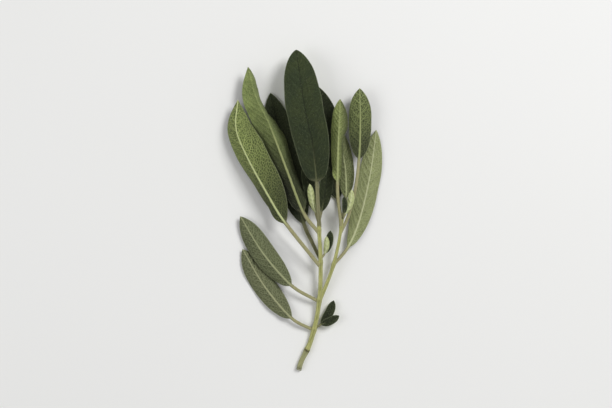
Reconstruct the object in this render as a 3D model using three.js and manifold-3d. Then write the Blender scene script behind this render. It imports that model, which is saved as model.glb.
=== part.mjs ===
// A cut sprig of sage lying on a flat surface: a square stem with one side shoot, large leaves
// on petioles, and tufts of young leaves at the tips and in the leaf axils.
// Millimetres, +Z up. The stem runs from its cut end along +Y, and the surface is Z = 0.
import * as THREE from "three";
import { mergeVertices } from "three/addons/utils/BufferGeometryUtils.js";
import Module from "manifold-3d";

const wasm = await Module();
wasm.setup();

// The stem is square with cut-off corners, and furrowed on the sides that are clear of the surface.
const STEM_HALF = 1.4;
const SHOOT_HALF = 1.1;
const CORNER_SHARE = 0.62; // where a side ends and its corner begins, as a share of the half width
const FURROW_SHARE = 0.1; // depth of the furrow along a side, as a share of the half width
const STEM_TAPER = 0.26; // share of its width that a stem loses by its tip
const NODE_SWELL = 0.24; // how much thicker a stem is where leaves join it
const NODE_LENGTH = 2.1; // half the length of such a swelling
const CUT_SLANT = 0.35; // slant of the cut end, as run over rise
const STEM_STEP = 3.4; // distance between the rings of points along a stem
const TIP_SHARE = 0.6; // width of a stem's very tip, as a share of the width before it
const REST_LENGTH = 16; // length of the stem's flat underside that lies on the surface
const JOINT_GAP = 0.3; // free space between a petiole's foot and the stem

// The lines that the stem and its side shoot follow. The first four points of the stem lie level.
const STEM_LINE = [
  [-0.4, -2.4, STEM_HALF], [0.9, 2.0, STEM_HALF], [3.9, 8.2, STEM_HALF], [6.4, 14.2, STEM_HALF],
  [9.7, 27.0, 2.2], [11.6, 42.6, 4.3], [11.8, 60.4, 6.6], [11.0, 76.6, 8.0], [10.8, 82.4, 7.8],
];
const SHOOT_LINE = [
  [10.8, 35.4, 3.3], [15.0, 45.4, 4.6], [19.0, 56.6, 5.8], [22.0, 69.0, 7.4],
  [23.6, 79.6, 8.2], [24.3, 84.2, 8.0],
];
// Arc lengths at which leaves join the stem and the shoot.
const STEM_NODES = [11.8, 24.0, 41.2, 62.6, 81.2];
const SHOOT_NODES = [23.1, 45.0];

// Every blade has a middle rib and side ribs in pairs, between which the thin tissue is quilted,
// and its margin is scalloped at the ends of the side ribs.
const BLADE_THICK = 0.8;
const MARGIN_THICK = 0.62;
const PETIOLE_HALF = 1.05;
const PETIOLE_THICK = 1.7;
const RIB_HEIGHT = 0.55; // how far the middle rib stands out of the underside at the blade's foot
const RIB_PITCH = 4.4; // distance between side ribs along the middle rib
const RIB_SLANT = 0.75; // how far a side rib runs forward for each millimetre that it runs out
const QUILT = 0.16; // how far the tissue between side ribs bulges to the upper face
const SCALLOP = 0.04; // depth of the margin's scallops, as a share of the half width
const LEAF_COLUMNS = 3; // columns of points from the middle rib to each margin of a large leaf
const YOUNG_COLUMNS = 2; // the same for a young leaf
const PETIOLE_STEP = 3.2; // distance between rings of points along a petiole
const PETIOLE_FLATTEN = 0.8; // how much thinner a petiole is at its sides than along its middle
const RIB_FADE = 0.8; // share of its height that the middle rib loses by the tip
const RIGHT_LEAD = 2.1; // phase by which the right margin's waves lead the left margin's
const CURVE_STEPS = 200; // steps in which a leaf's curve is measured

// Shares of a blade's length.
const OPENING = [-0.04, 0.16]; // where the petiole opens into the folded blade
const FLATTENING = [-0.03, 0.1]; // where the petiole's thickness turns into the blade's
const END_FADE = 0.08; // stretch at each end in which quilting and scallops fade out
const TIP_END = 0.996; // where the narrow tip is cut square

// Shares of the way from the middle rib to the margin.
const QUILT_RISE = 0.3; // where the quilting reaches its full height
const QUILT_FALL = 0.6; // share of its height that the quilting loses at the margin
const THIN_FROM = 0.5; // where the tissue starts to thin towards the margin
const SCALLOP_FROM = 0.7; // where the scallops begin

// Outline of a blade: widest at PEAK of its length, with a tapered foot and a blunt pointed tip.
const PEAK = 0.5;
const FOOT_POWER = 2.6;
const FOOT_ROOT = 1.5;
const TIP_POWER = 3.2;
const TIP_ROOT = 1.1;

// One entry for each large leaf. line: from inside the stem along the petiole and the middle rib
// to the tip. foot: which point of it is the blade's foot. width: of the blade laid flat. tipRoot:
// in place of TIP_ROOT, for a blunter tip. leftShare: the left half's width as a share of the
// right half's, where it isn't 1. shows: the face that is turned up. leftFold and rightFold:
// degrees by which each half leans to the upper face at the rib, at even steps from foot to tip.
// curl: degrees more by the left and the right margin. wave: the margins' waves, as height, count
// and phase.
const LEAVES = [
  {
    name: "leaf_top",
    line: [
      [11.3, 78.2, 8.2], [10.8, 84.4, 11.2], [10.2, 93.0, 12.6], [9.6, 104.2, 13.2],
      [7.3, 124.8, 14.6], [2.6, 147.0, 14.4], [-2.0, 178.2, 10.4],
    ],
    foot: 3, width: 21.0, tipRoot: 1.4, shows: "upper",
    leftFold: [6, 8, 10], rightFold: [28, 20, 12], curl: [4, -14], wave: [0.7, 2.6, 0.4],
  },
  {
    name: "leaf_top_left",
    line: [
      [10.7, 75.2, 8.1], [1.9, 87.0, 10.8], [-6.5, 108.6, 12.4],
      [-17.0, 136.0, 12.2], [-24.9, 152.4, 10.8], [-29.1, 168.6, 8.4],
    ],
    foot: 1, width: 21.0, shows: "lower",
    leftFold: [42, 42, 36, 27, 20, 30], rightFold: [36, 52, 56, 54, 50, 60, 73, 72, 62, 50, 40],
    curl: [10, 14], wave: [0.5, 2.2, 1.1],
  },
  {
    name: "leaf_middle_left",
    line: [
      [11.3, 56.4, 7.0], [-8.2, 81.0, 10.6], [-17.5, 95.9, 11.8], [-29.8, 118.4, 11.8],
      [-35.8, 134.0, 10.4], [-34.8, 150.0, 7.6],
    ],
    foot: 1, width: 23.0, leftShare: 0.8, shows: "lower",
    leftFold: [50, 54, 44, 40, 40], rightFold: [4, 4, 4, 14, 44], curl: [18, 5],
    wave: [0.4, 2.4, 2.0],
  },
  {
    name: "leaf_middle_under",
    line: [
      [11.6, 60.4, 5.7], [7.4, 69.0, 2.4], [2.2, 80.6, 1.2], [-4.6, 105.6, 0.82],
      [-11.2, 131.0, 0.82], [-16.6, 154.4, 1.4],
    ],
    foot: 2, width: 18.0, shows: "upper",
    leftFold: [4, 1], rightFold: [6, 6], curl: [2, 6], wave: [0.35, 2.1, 0.2],
  },
  {
    name: "leaf_lower_left",
    line: [[10.7, 36.2, 3.5], [-4.9, 45.6, 5.6], [-20.4, 63.2, 6.4], [-33.6, 84.4, 3.2]],
    foot: 1, width: 14.5, shows: "lower",
    leftFold: [20, 20], rightFold: [14, 14], curl: [16, 14], wave: [0.5, 1.8, 0.9],
  },
  {
    name: "leaf_lowest_left",
    line: [[7.9, 19.9, 1.6], [-4.8, 27.0, 3.2], [-19.6, 44.4, 3.3], [-32.4, 65.8, 1.9]],
    foot: 1, width: 13.5, shows: "lower",
    leftFold: [14, 8], rightFold: [10, 16], curl: [12, 12], wave: [0.5, 1.9, 2.6],
  },
  {
    name: "shoot_leaf_front",
    line: [
      [23.4, 78.2, 8.2], [22.6, 85.6, 11.2], [21.6, 94.6, 12.8], [21.3, 104.4, 13.2],
      [21.7, 126.0, 13.6], [22.8, 150.4, 11.0],
    ],
    foot: 3, width: 12.8, shows: "lower",
    leftFold: [44, 46, 46, 40, 30, 20], rightFold: [40, 50, 58, 24, 18, 18], curl: [14, 18],
    wave: [0.4, 1.8, 1.5],
  },
  {
    name: "shoot_leaf_under",
    line: [
      [23.2, 77.6, 7.6], [23.2, 84.4, 4.0], [21.4, 94.4, 1.4], [18.4, 114.2, 0.86],
      [15.0, 135.6, 0.86], [10.4, 158.0, 2.0],
    ],
    foot: 2, width: 16.0, shows: "upper",
    leftFold: [6, 6], rightFold: [6, 6], curl: [5, 5], wave: [0.5, 2.0, 1.9],
  },
  {
    name: "shoot_leaf_inner",
    line: [
      [24.2, 82.8, 7.8], [26.2, 95.0, 6.6], [25.8, 110.6, 6.0], [24.0, 121.4, 5.6],
      [21.2, 134.4, 5.0],
    ],
    foot: 1, width: 10.6, shows: "lower",
    leftFold: [18, 20], rightFold: [8, 6], curl: [10, 14], wave: [0.3, 1.6, 0.6],
  },
  {
    name: "shoot_leaf_outer",
    line: [
      [23.1, 75.0, 7.7], [27.5, 84.8, 8.9], [31.4, 100.2, 9.8], [33.5, 117.0, 10.0],
      [34.2, 136.0, 9.8], [33.9, 156.6, 9.4],
    ],
    foot: 3, width: 13.6, shows: "lower",
    leftFold: [12, 12], rightFold: [14, 14], curl: [10, 16], wave: [0.5, 2.0, 2.2],
  },
  {
    name: "shoot_leaf_right",
    line: [
      [19.0, 56.8, 5.8], [27.6, 67.4, 4.4], [34.2, 83.6, 3.4], [40.0, 108.6, 3.0],
      [43.4, 133.4, 2.6],
    ],
    foot: 1, width: 13.0, shows: "lower",
    leftFold: [8, 8], rightFold: [10, 10], curl: [8, 12], wave: [0.4, 2.0, 0.3],
  },
];

// Tufts of young leaves, each fused at its foot next to the stem. A young leaf has its blade's
// foot at the second point of its line.
const TUFTS = [
  {
    name: "tip_leaves",
    leaves: [
      {
        line: [[10.7, 80.6, 7.8], [8.9, 87.4, 6.7], [6.1, 101.8, 6.0], [3.2, 116.0, 5.8]],
        width: 8.4, shows: "upper",
        leftFold: [8, 8], rightFold: [10, 10], curl: [8, 10], wave: [0.3, 1.5, 0.3],
      },
      {
        line: [[10.7, 80.6, 7.8], [12.4, 87.4, 7.4], [14.8, 99.8, 7.6], [16.3, 112.6, 7.2]],
        width: 7.8, shows: "upper",
        leftFold: [10, 10], rightFold: [10, 10], curl: [10, 10], wave: [0.3, 1.4, 1.3],
      },
      {
        line: [[10.7, 80.6, 7.8], [9.0, 86.8, 9.2], [7.0, 94.0, 12.0], [5.6, 102.8, 12.8]],
        width: 4.4, shows: "lower",
        leftFold: [16, 16], rightFold: [16, 16], curl: [20, 20], wave: [0.1, 1.2, 0.3],
      },
    ],
  },
  {
    name: "shoot_tip_leaves",
    leaves: [
      {
        line: [[24.1, 82.6, 8.2], [25.8, 86.0, 11.4], [28.6, 92.4, 12.8], [29.4, 99.6, 12.6]],
        width: 4.2, shows: "lower",
        leftFold: [14, 14], rightFold: [14, 14], curl: [16, 16], wave: [0.1, 1.2, 0.9],
      },
      {
        line: [[24.1, 82.6, 8.2], [25.0, 86.2, 11.6], [25.4, 91.0, 13.6], [24.9, 95.8, 14.2]],
        width: 3.2, shows: "upper",
        leftFold: [14, 14], rightFold: [14, 14], curl: [12, 12], wave: [0.1, 1.2, 0.2],
      },
    ],
  },
  {
    name: "axil_leaves_low",
    leaves: [
      {
        line: [[8.3, 20.6, 1.7], [12.2, 23.6, 2.3], [16.6, 29.6, 2.6], [19.4, 36.8, 2.2]],
        width: 5.2, shows: "upper",
        leftFold: [10, 10], rightFold: [10, 10], curl: [8, 8], wave: [0.2, 1.4, 0.8],
      },
      {
        line: [[8.3, 20.6, 1.7], [12.2, 23.2, 2.7], [17.0, 25.0, 4.1], [22.4, 28.2, 4.3]],
        width: 4.6, shows: "upper",
        leftFold: [12, 12], rightFold: [12, 12], curl: [10, 10], wave: [0.2, 1.4, 2.4],
      },
    ],
  },
  {
    name: "axil_leaves_middle",
    leaves: [
      {
        line: [[11.8, 60.0, 6.6], [14.2, 63.6, 7.4], [16.6, 69.6, 8.0], [17.4, 76.4, 7.8]],
        width: 4.6, shows: "upper",
        leftFold: [12, 12], rightFold: [12, 12], curl: [10, 10], wave: [0.2, 1.4, 1.9],
      },
      {
        line: [[11.8, 60.0, 6.6], [14.2, 63.6, 7.8], [15.2, 67.8, 9.8], [15.2, 73.2, 10.8]],
        width: 3.4, shows: "lower",
        leftFold: [14, 14], rightFold: [14, 14], curl: [16, 16], wave: [0.1, 1.2, 0.5],
      },
    ],
  },
];

const up = new THREE.Vector3(0, 0, 1);
const degrees = THREE.MathUtils.degToRad;
const lerp = THREE.MathUtils.lerp;

function smoothStep(from, to, value) {
  const t = THREE.MathUtils.clamp((value - from) / (to - from), 0, 1);
  return t * t * (3 - 2 * t);
}

function smoothCurve(points) {
  return new THREE.CatmullRomCurve3(points.map((p) => new THREE.Vector3(...p)), false, "catmullrom", 0.5);
}

// Place, and the directions ahead, to the right and upwards, at an arc length along a curve.
function frameAt(curve, length, arc) {
  const share = THREE.MathUtils.clamp(arc / length, 0, 1);
  const place = curve.getPointAt(share);
  const ahead = curve.getTangentAt(share);
  const right = new THREE.Vector3().crossVectors(ahead, up).normalize();
  const above = new THREE.Vector3().crossVectors(right, ahead);
  return { place, ahead, right, above };
}

// Solid from positions and triangles, with points that coincide merged. Whichever way round
// the triangles run, the solid's faces point out.
function solidFrom(positions, faces) {
  const geometry = new THREE.BufferGeometry();
  geometry.setAttribute("position", new THREE.Float32BufferAttribute(positions, 3));
  geometry.setIndex(faces);
  const merged = mergeVertices(geometry, 1e-4);
  const mesh = new wasm.Mesh({
    numProp: 3,
    vertProperties: merged.attributes.position.array,
    triVerts: new Uint32Array(merged.index.array),
  });
  const solid = new wasm.Manifold(mesh);
  if (solid.volume() > 0) return solid;
  return solidFrom(positions, [...faces].reverse());
}

// Closed body from rings of points that run the same way round, with flat ends. An end is
// filled by strips between the points of its first half and those opposite them.
function bodyFromRings(rings) {
  const count = rings[0].length;
  const positions = rings.flat().flatMap((p) => [p.x, p.y, p.z]);
  const faces = [];
  for (let i = 0; i + 1 < rings.length; i++) {
    for (let j = 0; j < count; j++) {
      const a = i * count + j;
      const b = i * count + ((j + 1) % count);
      faces.push(a, b, b + count, a, b + count, a + count);
    }
  }
  const last = (rings.length - 1) * count;
  for (let j = 0; j < count / 2 - 1; j++) {
    const [a, b, c, d] = [j, j + 1, count - 2 - j, count - 1 - j];
    faces.push(a, c, b, a, d, c);
    faces.push(last + a, last + b, last + c, last + a, last + c, last + d);
  }
  return solidFrom(positions, faces);
}

// Section of a square stem on a half width of 1, anticlockwise from the middle of its underside.
function stemSection() {
  const c = CORNER_SHARE;
  const dip = 1 - FURROW_SHARE;
  return [
    [0, -1], [c, -1], [1, -c], [dip, 0], [1, c], [c, 1],
    [0, dip], [-c, 1], [-1, c], [-dip, 0], [-1, -c], [-c, -1],
  ];
}

// Arc lengths of a stem's rings: even steps, with each node's middle and ends among them.
function stemArcs(length, nodes) {
  const steps = Math.round(length / STEM_STEP);
  const even = Array.from({ length: steps + 1 }, (_, i) => (i / steps) * length);
  const atNodes = nodes.flatMap((node) => [node - NODE_LENGTH, node, node + NODE_LENGTH]);
  const clear = even.filter((arc) => atNodes.every((other) => Math.abs(arc - other) > STEM_STEP / 3));
  return [0, ...clear.slice(1, -1), ...atNodes, length].sort((a, b) => a - b);
}

// A stem along a line, swollen at its nodes, and grown by extra on every side. Nothing of it
// reaches below the surface, and on the first REST_LENGTH its underside lies flat there.
function stemSolid(line, half, nodes, restLength, extra) {
  const curve = smoothCurve(line);
  const length = curve.getLength();
  const section = stemSection();
  const rings = stemArcs(length, nodes).map((arc) => {
    const { place, ahead, right, above } = frameAt(curve, length, arc);
    const swell = nodes.reduce((sum, node) => sum + Math.exp(-(((arc - node) / NODE_LENGTH) ** 2)), 0);
    const taper = (1 - (STEM_TAPER * arc) / length) * (arc === length ? TIP_SHARE : 1);
    const reach = half * taper * (1 + NODE_SWELL * swell) + extra;
    if (arc === length) place.addScaledVector(ahead, extra);
    return section.map(([x, y]) => {
      const point = place.clone().addScaledVector(right, x * reach).addScaledVector(above, y * reach);
      if (arc === 0) point.addScaledVector(ahead, y * reach * CUT_SLANT - extra);
      if (point.z < -extra || (y === -1 && arc < restLength)) point.z = -extra;
      return point;
    });
  });
  return bodyFromRings(rings);
}

function wholeStem(extra) {
  const main = stemSolid(STEM_LINE, STEM_HALF, STEM_NODES, REST_LENGTH, extra);
  const shoot = stemSolid(SHOOT_LINE, SHOOT_HALF, SHOOT_NODES, 0, extra);
  return main.add(shoot);
}

// Half width of a blade at a share of its length, on a greatest half width of 1.
function outline(share, tipRoot) {
  if (share <= 0 || share >= 1) return 0;
  if (share < PEAK) return (1 - (1 - share / PEAK) ** FOOT_POWER) ** (1 / FOOT_ROOT);
  return (1 - ((share - PEAK) / (1 - PEAK)) ** TIP_POWER) ** (1 / tipRoot);
}

// What a leaf's surface is worked out from.
function leafShape(leaf) {
  const curve = smoothCurve(leaf.line);
  const length = curve.getLength();
  const footIndex = leaf.foot ?? 1;
  const stepsToFoot = Math.round((CURVE_STEPS * footIndex) / (leaf.line.length - 1));
  const foot = curve.getLengths(CURVE_STEPS)[stepsToFoot];
  const blade = length - foot;
  return {
    ...leaf,
    curve,
    length,
    foot,
    blade,
    tipRoot: leaf.tipRoot ?? TIP_ROOT,
    leftShare: leaf.leftShare ?? 1,
    ribs: Math.max(4, Math.round(blade / RIB_PITCH)),
    stoutness: Math.min(1, 0.4 + leaf.width / 30),
    toUpper: leaf.shows === "upper" ? 1 : -1,
  };
}

// Value at a share of the way along a list of values at even steps.
function valueAt(list, share) {
  const at = share * (list.length - 1);
  const step = Math.min(Math.floor(at), list.length - 2);
  return lerp(list[step], list[step + 1], smoothStep(0, 1, at - step));
}

// Distance from a leaf's middle surface to its skin. face is 1 for the upper face and -1 for the
// underside, where the middle rib stands out.
function skinDepth(shape, share, reach, face) {
  const stalk = (PETIOLE_THICK / 2) * shape.stoutness * Math.sqrt(1 - PETIOLE_FLATTEN * reach ** 2);
  const tissue = lerp(BLADE_THICK, MARGIN_THICK, smoothStep(THIN_FROM, 1, reach)) / 2;
  const rib = face < 0 && reach === 0 ? RIB_HEIGHT * shape.stoutness * (1 - RIB_FADE * share) : 0;
  return lerp(stalk, tissue + rib, smoothStep(...FLATTENING, share));
}

// Point of a leaf. root: where the point's side rib leaves the middle rib, from 0 at the blade's
// foot to 1 at its tip, and below 0 on the petiole. across: from -1 to 1 between the margins.
// skin: 1 on top and -1 below.
function leafPoint(shape, root, across, skin) {
  const reach = Math.abs(across);
  const half = across < 0 ? 0 : 1;
  const onBlade = THREE.MathUtils.clamp(root, 0, 1);
  const slant = (RIB_SLANT * (shape.width / 2) * outline(root, shape.tipRoot)) / shape.blade;
  const share = Math.min(root + slant * reach, TIP_END);
  const { place, right, above } = frameAt(shape.curve, shape.length, shape.foot + share * shape.blade);

  const swing = Math.cos(2 * Math.PI * shape.ribs * root);
  const inner = smoothStep(0, END_FADE, root) * smoothStep(1, 1 - END_FADE, root);
  const notch = SCALLOP * inner * smoothStep(SCALLOP_FROM, 1, reach) * (0.5 + 0.5 * swing);
  const stalk = PETIOLE_HALF * shape.stoutness * (1 - onBlade);
  const fullness = outline(share, shape.tipRoot);
  const halfShare = half === 0 ? shape.leftShare : 1;
  const width = Math.hypot(stalk, (shape.width / 2) * fullness * halfShare) * (1 - notch);
  const opened = smoothStep(...OPENING, share);
  const fold = half === 0 ? shape.leftFold : shape.rightFold;
  const bend = degrees(valueAt(fold, onBlade)) * opened;
  const curl = degrees(shape.curl[half]) * opened + 1e-4;
  const slope = bend + curl * reach;
  const lateral = (width * (Math.sin(slope) - Math.sin(bend))) / curl;
  const lean = (width * (Math.cos(bend) - Math.cos(slope))) / curl;
  const [waveHeight, waves, phase] = shape.wave;
  const turn = 2 * Math.PI * waves * onBlade + phase + half * RIGHT_LEAD;
  const ripple = waveHeight * reach ** 2 * Math.sin(turn);
  const quilt = QUILT * swing * inner * smoothStep(0, QUILT_RISE, reach) * (1 - QUILT_FALL * reach ** 4);
  const height = lean + ripple * fullness + quilt;

  const side = Math.sign(across);
  const depth = skin * skinDepth(shape, share, reach, skin * shape.toUpper);
  return place
    .addScaledVector(right, side * (lateral - shape.toUpper * Math.sin(slope) * depth))
    .addScaledVector(above, shape.toUpper * height + Math.cos(slope) * depth);
}

// Rings of points across a leaf, from its petiole's foot to its tip. Those on the blade follow
// the side ribs and the hollows between them in turn, so they run forward to the margins.
function leafSolid(leaf, halfColumns) {
  const shape = leafShape(leaf);
  const columns = Array.from({ length: 2 * halfColumns + 1 }, (_, j) => j / halfColumns - 1);
  const petioleSteps = Math.max(2, Math.round(shape.foot / PETIOLE_STEP));
  const bladeSteps = 2 * shape.ribs;
  const roots = [];
  for (let i = 0; i < petioleSteps; i++) roots.push((-shape.foot / shape.blade) * (1 - i / petioleSteps));
  for (let i = 0; i < bladeSteps; i++) roots.push(i / bladeSteps);
  roots.push(TIP_END);
  const rings = roots.map((root) => {
    const top = columns.map((across) => leafPoint(shape, root, across, 1));
    const bottom = columns.map((across) => leafPoint(shape, root, across, -1)).reverse();
    return [...top, ...bottom];
  });
  return bodyFromRings(rings);
}

// What is left of a leaf or tuft outside the stem and its clearance, without loose scraps.
function clearOf(stem, solid) {
  const bodies = solid.subtract(stem).decompose();
  return bodies.reduce((a, b) => (a.volume() >= b.volume() ? a : b));
}

function geometryFrom(solid) {
  const { numProp, vertProperties, triVerts } = solid.getMesh();
  const positions = vertProperties.filter((_, i) => i % numProp < 3);
  const geometry = new THREE.BufferGeometry();
  geometry.setAttribute("position", new THREE.BufferAttribute(positions, 3));
  geometry.setIndex(new THREE.BufferAttribute(new Uint32Array(triVerts), 1));
  const faceted = geometry.toNonIndexed();
  faceted.computeVertexNormals();
  return faceted;
}

function material(color, roughness) {
  return new THREE.MeshStandardMaterial({ color, roughness, metalness: 0 });
}

function meshOf(name, solid, finish) {
  const mesh = new THREE.Mesh(geometryFrom(solid), finish);
  mesh.name = name;
  return mesh;
}

const sprig = new THREE.Group();
sprig.name = "sage_sprig";
sprig.add(meshOf("stem", wholeStem(0), material(0xa3a36c, 0.8)));
const clearance = wholeStem(JOINT_GAP);
for (const leaf of LEAVES) {
  const finish = leaf.shows === "upper" ? material(0x55633f, 0.85) : material(0x8a9668, 0.88);
  sprig.add(meshOf(leaf.name, clearOf(clearance, leafSolid(leaf, LEAF_COLUMNS)), finish));
}
for (const tuft of TUFTS) {
  const solids = tuft.leaves.map((leaf) => leafSolid(leaf, YOUNG_COLUMNS));
  const joined = solids.reduce((a, b) => a.add(b));
  sprig.add(meshOf(tuft.name, clearOf(clearance, joined), material(0x7f8c5a, 0.85)));
}

export default sprig;
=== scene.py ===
import bpy
import numpy as np
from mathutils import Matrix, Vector


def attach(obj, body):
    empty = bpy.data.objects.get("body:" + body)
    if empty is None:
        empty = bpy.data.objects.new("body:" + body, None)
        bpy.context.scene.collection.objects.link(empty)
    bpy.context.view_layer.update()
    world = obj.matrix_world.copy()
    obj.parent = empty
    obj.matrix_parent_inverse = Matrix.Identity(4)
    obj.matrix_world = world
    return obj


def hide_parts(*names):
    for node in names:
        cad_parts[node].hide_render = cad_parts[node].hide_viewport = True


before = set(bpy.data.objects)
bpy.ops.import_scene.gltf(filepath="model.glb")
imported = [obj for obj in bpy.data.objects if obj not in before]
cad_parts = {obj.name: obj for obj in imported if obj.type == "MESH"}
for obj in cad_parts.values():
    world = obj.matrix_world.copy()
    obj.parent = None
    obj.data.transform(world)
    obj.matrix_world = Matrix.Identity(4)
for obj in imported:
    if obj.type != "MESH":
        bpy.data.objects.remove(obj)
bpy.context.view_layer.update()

MM = 0.001
UP = np.array([0.0, 0.0, 1.0])
CURVE_STEPS = 200

# The stem and its side shoot: square with cut-off corners, furrowed, and swollen at the nodes.
STEM_HALF = 1.4
SHOOT_HALF = 1.1
STEM_TAPER = 0.26
NODE_SWELL = 0.24
NODE_LENGTH = 2.1
CUT_SLANT = 0.35
REST_LENGTH = 16.0
STEM_LINE = [
    [-0.4, -2.4, 1.4], [0.9, 2.0, 1.4], [3.9, 8.2, 1.4], [6.4, 14.2, 1.4],
    [9.7, 27.0, 2.2], [11.6, 42.6, 4.3], [11.8, 60.4, 6.6], [11.0, 76.6, 8.0], [10.8, 82.4, 7.8],
]
SHOOT_LINE = [
    [10.8, 35.4, 3.3], [15.0, 45.4, 4.6], [19.0, 56.6, 5.8], [22.0, 69.0, 7.4],
    [23.6, 79.6, 8.2], [24.3, 84.2, 8.0],
]
STEM_NODES = [11.8, 24.0, 41.2, 62.6, 81.2]
SHOOT_NODES = [23.1, 45.0]
SECTION = [
    [0, -1], [0.62, -1], [1, -0.62], [0.9, 0], [1, 0.62], [0.62, 1],
    [0, 0.9], [-0.62, 1], [-1, 0.62], [-0.9, 0], [-1, -0.62], [-0.62, -1],
]
STEM_SIDES = 48
STEM_STEP = 0.4
COLLAR_HEIGHT = 0.13
GRAIN_HEIGHT = 0.04
CLOSING_LENGTH = 1.6
CUT_LENGTH = 2.6  # how far from the cut end its slant and its dried look reach
CUT_RINGS = [(0.18, 0.18), (0.42, 0.16), (0.66, 0.1), (0.84, 0.03), (0.93, 0.0)]  # size, how deep
END_RINGS = [(0.8, 0.16), (0.5, 0.3), (0.2, 0.36)]  # size, how far out
FURROW_SHADE_TURN = 0.4  # where a dark line of painted shade runs along the stem's furrow, as a share of a turn
SCAR_TURN = 0.46

# Petioles and blades. Lengths are millimetres, and the rest are shares.
BLADE_HALF = 0.25
EDGE_THIN = 0.7
PETIOLE_HALF = 1.05
PETIOLE_THICK = 1.7
SLIM, FULL_WIDTH = 0.4, 30.0  # petiole and rib are this share, plus width over full width, stout
PEAK = 0.5
FOOT_POWER = 2.6
FOOT_ROOT = 1.5
TIP_POWER = 3.2
TIP_ROOT = 1.1
OPENING = (-0.04, 0.16)
FLATTENING = (-0.03, 0.1)
RIGHT_LEAD = 2.1  # how far the right margin's waves are ahead of the left one's, in radians
END_FADE = 0.08

# The middle rib, raised below, with its furrow above, and the petiole's channel.
RIB_HEIGHT = 0.5
RIB_HALF = 0.62
RIB_SLANT = 0.75
RIB_FADE = 0.8
FURROW_DEPTH = 0.3
FURROW_HALF = 0.42
CHANNEL_DEPTH = 0.5
CHANNEL_HALF = 0.5

# Side veins, and the tissue that swells between the veins.
VEIN_STRAIGHT, VEIN_CURVED = 0.6, 0.4  # shares of a side vein's run forward
VEIN_WANDER = 0.14
VEIN_CELL = 6.5
VEIN_SHIFT = 0.3  # how far the right half's veins are ahead of the left half's
ACROSS_VEINS = 0.7  # distance straight across the veins for each one along the rib
VEIN_HALF = (0.38, 0.26)  # at the rib and at the margin
VEIN_FADE = 0.7
VEIN_SUNK = 0.1
VEIN_RAISED = 0.15
QUILT = 0.09
QUILT_RISE = 0.3
QUILT_FALL = 0.6
CRINKLE_CELL = 1.3
CRINKLE_EDGE = 0.32
CRINKLE_HEIGHT = 0.11
CRINKLE_LEVEL = 0.6
SOFT_CELL = 2.6
SOFT_HEIGHT = 0.06
NET_STRETCH, NET_LEAD = 1.1, 0.4  # outwards, and forward along the veins

# Margins: slow changes of width, and teeth that a blade's narrow ends keep small.
UNEVEN = 0.02
UNEVEN_CELL = 9.0
TOOTH_PITCH = 1.15
TOOTH_DEPTH = 0.17
TOOTH_SHARE = 0.03
TOOTH_WANDER = 0.35

# A leaf's mesh: closer rows at the tip, and closer columns at the rib and the rim.
PETIOLE_ROWS = 6  # at least
PETIOLE_SPACING = 1.2
TIP_LENGTH = 2.0
TIP_ROWS = 14
TIP_CROWDING = 1.5
LAST_SHARE = 0.9995
FINE_WIDTH = 0.8
FINE_SPACING = 0.6
RIM_WIDTH = 0.5
RIM_COLUMNS = [0.968, 0.986, 0.996, 1.0]
MAP_GAP = 2.4

# Hairs are closed cones, so many to a square millimetre.
HAIR_HALF = 0.03
HAIR_LENGTH = (0.22, 0.55)
HAIR_SINK = 0.04
BLADE_HAIRS = 1.2
MARGIN_HAIRS = 7.0
STALK_HAIRS = 3.0
STEM_HAIRS = 3.5
HAIR_LEAN = 0.35
HAIR_SCATTER = 0.4
HAIR_CLEAR = 0.01  # how far a hair stays above the surface

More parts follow.
